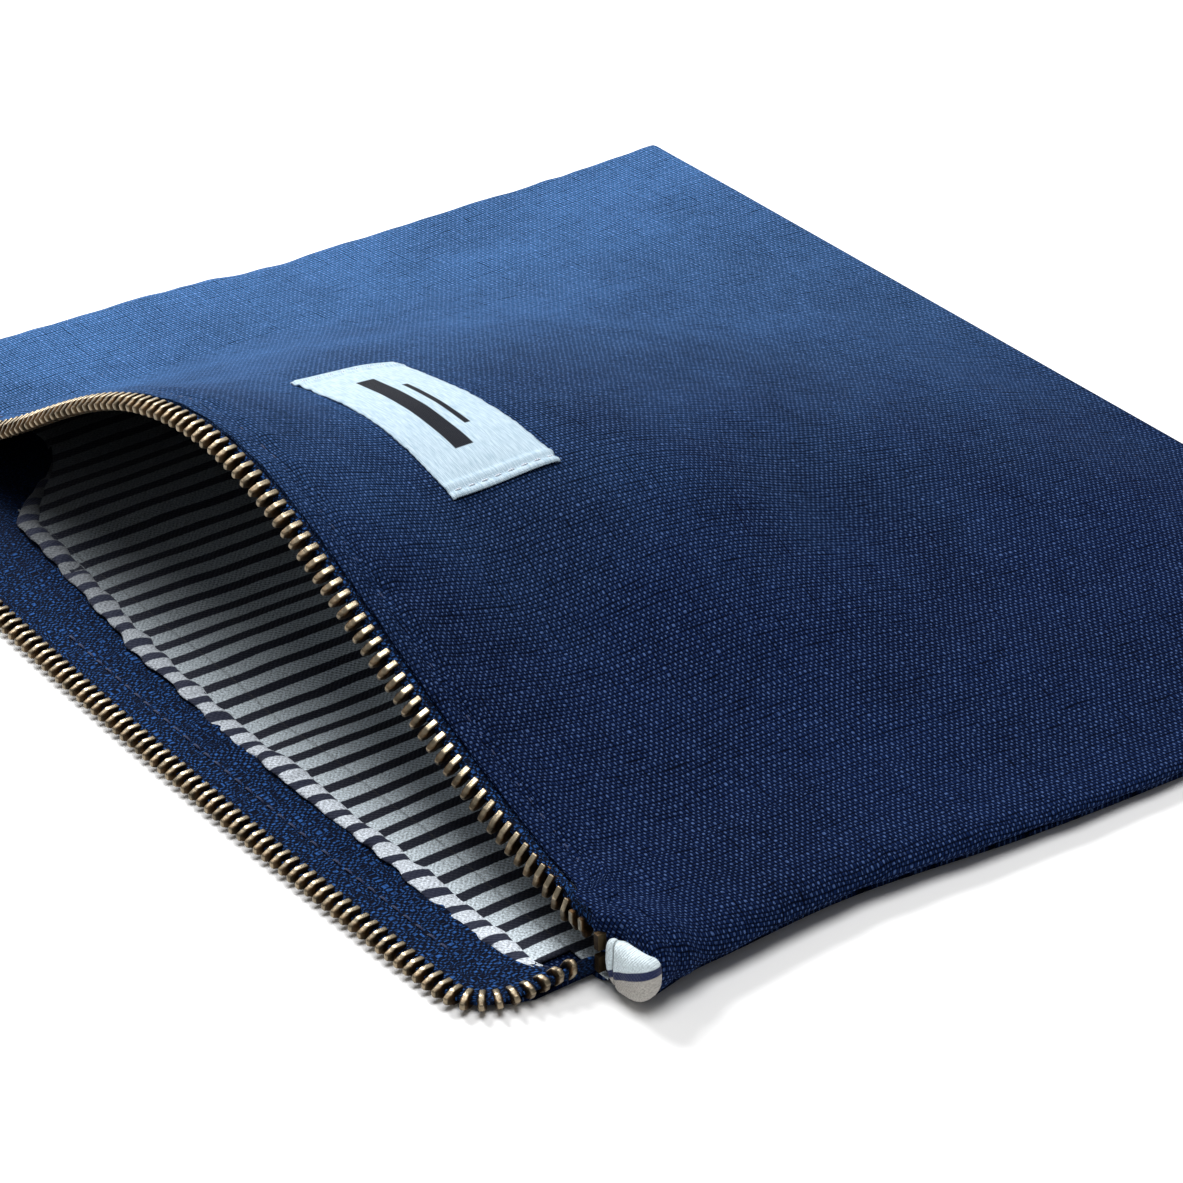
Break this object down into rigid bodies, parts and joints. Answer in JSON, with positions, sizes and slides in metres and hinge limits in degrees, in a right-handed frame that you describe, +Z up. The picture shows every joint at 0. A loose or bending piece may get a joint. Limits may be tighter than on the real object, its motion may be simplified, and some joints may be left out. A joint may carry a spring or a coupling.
{
  "type": "zipped fabric pouch",
  "caption": "Flat lined canvas pouch with a metal zip along one long edge, mouth gaping, for brushes, pens and small tools.",
  "frame": {"origin": "middle of the pouch's footprint, on the surface that it lies on", "axes": "+X along the zip, from the slider's open end to the closed end; +Y from the mouth to the bottom seam; +Z up"},
  "size_m": [0.24, 0.1986, 0.0494],
  "materials": {
    "canvas": "coarse plain-weave navy cotton canvas",
    "lining": "thin cotton with narrow navy and off-white stripes",
    "zip_tape": "navy woven tape",
    "zip_brass": "antique brass, dark in the hollows",
    "slider_brass": "antique brass, worn bright on the edges",
    "spring_steel": "plain spring steel",
    "label": "white woven satin label",
    "label_thread": "white sewing thread",
    "thread": "navy sewing thread"
  },
  "bodies": {
    "pouch": {"lower_panel": "canvas", "upper_panel": "canvas", "lower_lining": "lining", "upper_lining": "lining", "lower_zip_tape": "zip_tape", "upper_zip_tape": "zip_tape", "lower_zip_teeth": "zip_brass", "upper_zip_teeth": "zip_brass", "bottom_stop": "zip_brass", "top_stops": "zip_brass", "end_tab_right": "lining", "end_tab_left": "lining", "label": "label", "label_stitching": "label_thread", "upper_topstitch": "thread", "lower_topstitch": "thread", "left_seam_thread": "thread", "right_seam_thread": "thread", "bottom_seam_thread": "thread"},
    "slider": {"slider_body": "slider_brass", "slider_bridge": "slider_brass", "lock_spring": "spring_steel"},
    "pull": {"pull_tab": "slider_brass"}
  },
  "joints": [
    {"name": "slider_travel", "type": "slide", "parent": "pouch", "child": "slider", "axis": [1, 0, 0], "range_m": [0, 0.194], "deforming": ["lower_zip_tape", "upper_zip_tape", "lower_zip_teeth", "upper_zip_teeth"]},
    {"name": "pull_swing", "type": "hinge", "parent": "slider", "child": "pull", "pos_m": [-0.099, -0.07855, 0.0063], "axis": [0, 0, 1], "range_deg": [0, 175]}
  ]
}
